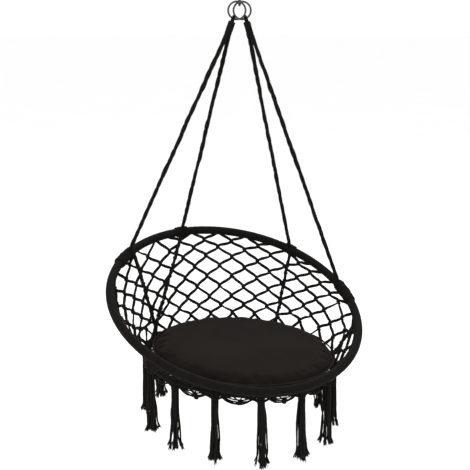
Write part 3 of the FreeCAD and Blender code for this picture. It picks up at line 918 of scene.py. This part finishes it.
pipe = Bag()
a = np.linspace(0, 2 * math.pi, 361)[:-1]
wob = sum(am * np.sin(fr * a + ph) for fr, am, ph in ((5, 0.0005, 0.4), (11, 0.0004, 1.9), (23, 0.0003, 2.7)))
pipe.tube(on_cushion((0.2782 + wob) * np.cos(a), (0.2782 + wob) * np.sin(a), 0.0245 + wob * 0.8), 0.0026, 10, closed=True)
ob = pipe.make("cushion_piping", PIPING)
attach(ob, "cushion")

# ------------------------------------------------------------------ tassels
TASSELS, FIRST = 14, -78.3
UP = V(0, 0, 1)
head = Bag()
for i in range(TASSELS):
    h = FIRST + i * 360.0 / TASSELS
    t = math.radians(h)
    p = seat(h)
    top = p - UP * (SEAT_WRAP_R + 0.0006 + 0.012 * abs(math.tan(ROLL) * math.cos(t)))
    pivot = top - UP * (0.013 + 0.0115 + 0.0004)
    rad = unit(math.cos(t) * SEAT_X + math.sin(t) * SEAT_Y)
    tan = unit(-math.sin(t) * SEAT_X + math.cos(t) * SEAT_Y)
    # cords doubled over the hoop, then gathered by a few turns
    for off in (-0.0088, -0.0044, 0.0, 0.0044, 0.0088):
        ph = np.radians(np.linspace(-150, 150, 25))
        arc = p + off * tan + 0.0112 * (np.cos(ph)[:, None] * SEAT_N + np.sin(ph)[:, None] * rad)
        a0 = top - UP * 0.010 + off * 0.8 * tan - rad * 0.0044
        a1 = top - UP * 0.010 + off * 0.8 * tan + rad * 0.0044
        loop, _ = resample(np.vstack([a0, a0 * 0.4 + arc[0] * 0.6, arc, a1 * 0.4 + arc[-1] * 0.6, a1]), 0.0032)
        head.tube(loop, 0.0021, 6)
    wind_line(head, top - UP * 0.0020, top - UP * 0.0135, 0.0098, 0.0041, 0.0022, 0.0020, steps=18, sides=7, jitter=1.2)
    core = np.array([top + UP * 0.004, top - UP * 0.003, top - UP * 0.010, top - UP * 0.0150])
    head.tube(core, np.array([0.0072, 0.0090, 0.0092, 0.0076]), 12)
    # the hoop's cords drawn in towards the knot from both sides
    for k in (-6, -5, -4, -3, -2, -1, 1, 2, 3, 4, 5, 6):
        dh = k * 1.75 + rng.normal(0, 0.25)
        th = math.radians(h + dh)
        rr_ = math.cos(th) * SEAT_X + math.sin(th) * SEAT_Y
        sgn = 1 if k > 0 else -1
        a0 = seat(h + dh) - SEAT_N * 0.0095 + rr_ * (0.0035 * (1 if k % 2 else -1))
        a1 = seat(h + dh * 0.55) - SEAT_N * (0.0125 + 0.002 * rng.random()) + rr_ * (0.002 * (1 if k % 2 else -1))
        a2 = top - UP * 0.0075 + tan * (sgn * (0.0100 + 0.0006 * abs(k))) + rad * (0.0035 * (1 if k % 2 else -1))
        a3 = top - UP * 0.0125 + tan * (sgn * 0.0075)
        head.tube(resample(nurbs_line("g", [a0, a1, a2, a3], 6), 0.0045)[0], 0.0020, 6)
    # loose loops hung along the hoop from this knot to the next
    step = 360.0 / TASSELS
    for k in range(6):
        sag = (0.009, 0.013, 0.017, 0.021, 0.012, 0.018)[k] * (0.85 + 0.3 * rng.random())
        shift = (0.0, -0.12, 0.0, 0.10, 0.18, -0.2)[k]
        lo = (0.16, 0.14, 0.16, 0.13, 0.42, 0.14)[k]
        hi = (0.84, 0.86, 0.84, 0.87, 0.86, 0.58)[k]
        cps = []
        for f in np.linspace(0, 1, 8):
            e = h + step * (lo + (hi - lo) * f)
            te = math.radians(e)
            ro = math.cos(te) * SEAT_X + math.sin(te) * SEAT_Y
            drop = sag * math.sin(math.pi * f) ** 0.8 * (1 + shift * math.cos(math.pi * f)) + rng.normal(0, 0.0009)
            cps.append(seat(e) - SEAT_N * 0.0088 - UP * drop + ro * ((k % 3 - 1) * 0.0038 + rng.normal(0, 0.0008)))
        head.tube(resample(nurbs_line("w", cps, 6), 0.0050)[0], 0.0022, 6)
        if k in (1, 3):
            q, dirn = cps[4], unit(cps[5] - cps[3])
            knot(head, q, dirn, -UP, unit(np.cross(dirn, UP)), 1.15, 0.0)

    bag = Bag()
    cords = 13
    L = 0.0115 + 0.183
    spread = 0.85 + 0.25 * rng.random()
    lean = rng.normal(0, 0.003, 2)
    loose = int(rng.integers(4, cords))
    for k in range(cords):
        if k < 4:
            r0, a0 = 0.0036, 2 * math.pi * k / 4
        else:
            r0, a0 = 0.0086, 2 * math.pi * (k - 4) / (cords - 4) + 0.3 * i
        n = 32
        s = np.linspace(0, 1, n)
        length = L * (0.925 + 0.065 * rng.random())
        r1 = (0.0085 + 0.0115 * rng.random() ** 0.8) * spread if k >= 4 else 0.003 + 0.003 * rng.random()
        belly = 0.0
        if k == loose and i % 4 != 2:
            belly = 0.0085
        swirl = rng.normal(0, 0.35)
        rr_ = r0 + (r1 - r0) * s ** 1.5 + belly * np.sin(np.clip(s * 1.15, 0, 1) * math.pi) ** 0.7 + 0.0008 * np.sin(s * 9 + rng.uniform(0, 6)) * s
        aa = a0 + swirl * s
        wx, wy = smooth_noise(n, 6, 0.0013) * s ** 0.5, smooth_noise(n, 6, 0.0013) * s ** 0.5
        x = rr_ * np.cos(aa) + lean[0] * s ** 2 + wx
        y = rr_ * np.sin(aa) + lean[1] * s ** 2 + wy
        P = pivot + UP * 0.0112 - UP * (length * s)[:, None] + x[:, None] * V(1, 0, 0) + y[:, None] * V(0, 1, 0)
        rc_ = 0.0026 * (1 + 0.06 * np.sin(s * 60 + k))
        keep = int(n * 0.90)
        P2, r2 = P[:keep], rc_[:keep].copy()
        r2[-1] *= 0.9
        bag.tube(P2, r2, 7)
        # the frayed end
        end, dirn = P2[-1], unit(P2[-1] - P2[-3])
        outw = unit(V(x[keep - 1], y[keep - 1], 1e-6))
        ex = unit(np.cross(dirn, V(0.2, 1, 0.1)))
        ey = np.cross(dirn, ex)
        left = length * 0.10 + 0.003
        for f in range(13):
            fa = 2 * math.pi * (f + rng.random() * 0.7) / 13
            fr = 0.0014 + 0.0046 * rng.random()
            fl = left * (0.72 + 0.38 * rng.random())
            q = np.linspace(0, 1, 6)
            F = end - dirn * 0.003 + dirn * (q * (fl + 0.003))[:, None] + ((0.0013 + (fr - 0.0013) * q ** 1.3)[:, None]) * (math.cos(fa) * ex + math.sin(fa) * ey) + (0.0045 * q ** 1.5)[:, None] * outw + (smooth_noise(6, 3, 0.0006) * q)[:, None] * ex
            bag.tube(F, np.array([0.0011, 0.0012, 0.0011, 0.0010, 0.0008, 0.0004]), 4)
    name = "tassel_%02d" % (i + 1)
    ob = bag.make(name + "_cords", CORD)
    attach(ob, name)
    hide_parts(name)
ob = head.make("tassel_heads", CORD)
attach(ob, "seat")
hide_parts("tassel_knots")


# ------------------------------------------------------------------ floor and light
def build_stage():
    m, nt, b = new_mat("studio_floor")
    co = node(nt, "ShaderNodeTexCoord")
    n = node(nt, "ShaderNodeTexNoise", i_Scale=2.0, i_Detail=2.0)
    nt.links.new(co.outputs["Object"], n.inputs["Vector"])
    nt.links.new(ramp(nt, n.outputs[0], [(0.3, (0.925, 0.925, 0.925)), (0.5, (0.93, 0.93, 0.93)), (0.7, (0.935, 0.935, 0.935))]), b.inputs["Base Color"])
    b.inputs["Roughness"].default_value = 0.9
    me = bpy.data.meshes.new("studio_floor")
    z = -1.62
    me.from_pydata([(-60, -60, z), (60, -60, z), (60, 60, z), (-60, 60, z)], [], [(0, 1, 2, 3)])
    ob = bpy.data.objects.new("studio_floor", me)
    me.materials.append(m)
    bpy.context.scene.collection.objects.link(ob)
    w = bpy.data.worlds.new("studio")
    bpy.context.scene.world = w
    w.use_nodes = True
    w.node_tree.nodes["Background"].inputs[0].default_value = (1.0, 1.0, 1.0, 1)
    w.node_tree.nodes["Background"].inputs[1].default_value = 1.06
    for name, loc, size, power in (("key", (-1.6, -2.2, 1.4), 1.6, 60.0), ("fill", (2.2, -1.4, 0.4), 1.8, 22.0), ("rim", (0.6, 2.4, 1.2), 1.4, 30.0)):
        li = bpy.data.lights.new(name, "AREA")
        li.shape = "DISK"
        li.size = size
        li.energy = power
        lo = bpy.data.objects.new(name, li)
        lo.location = loc
        from mathutils import Vector
        lo.rotation_euler = (Vector((0, 0, -0.95)) - Vector(loc)).to_track_quat("-Z", "Y").to_euler()
        bpy.context.scene.collection.objects.link(lo)


build_stage()
bpy.context.scene.view_settings.view_transform = "Standard"
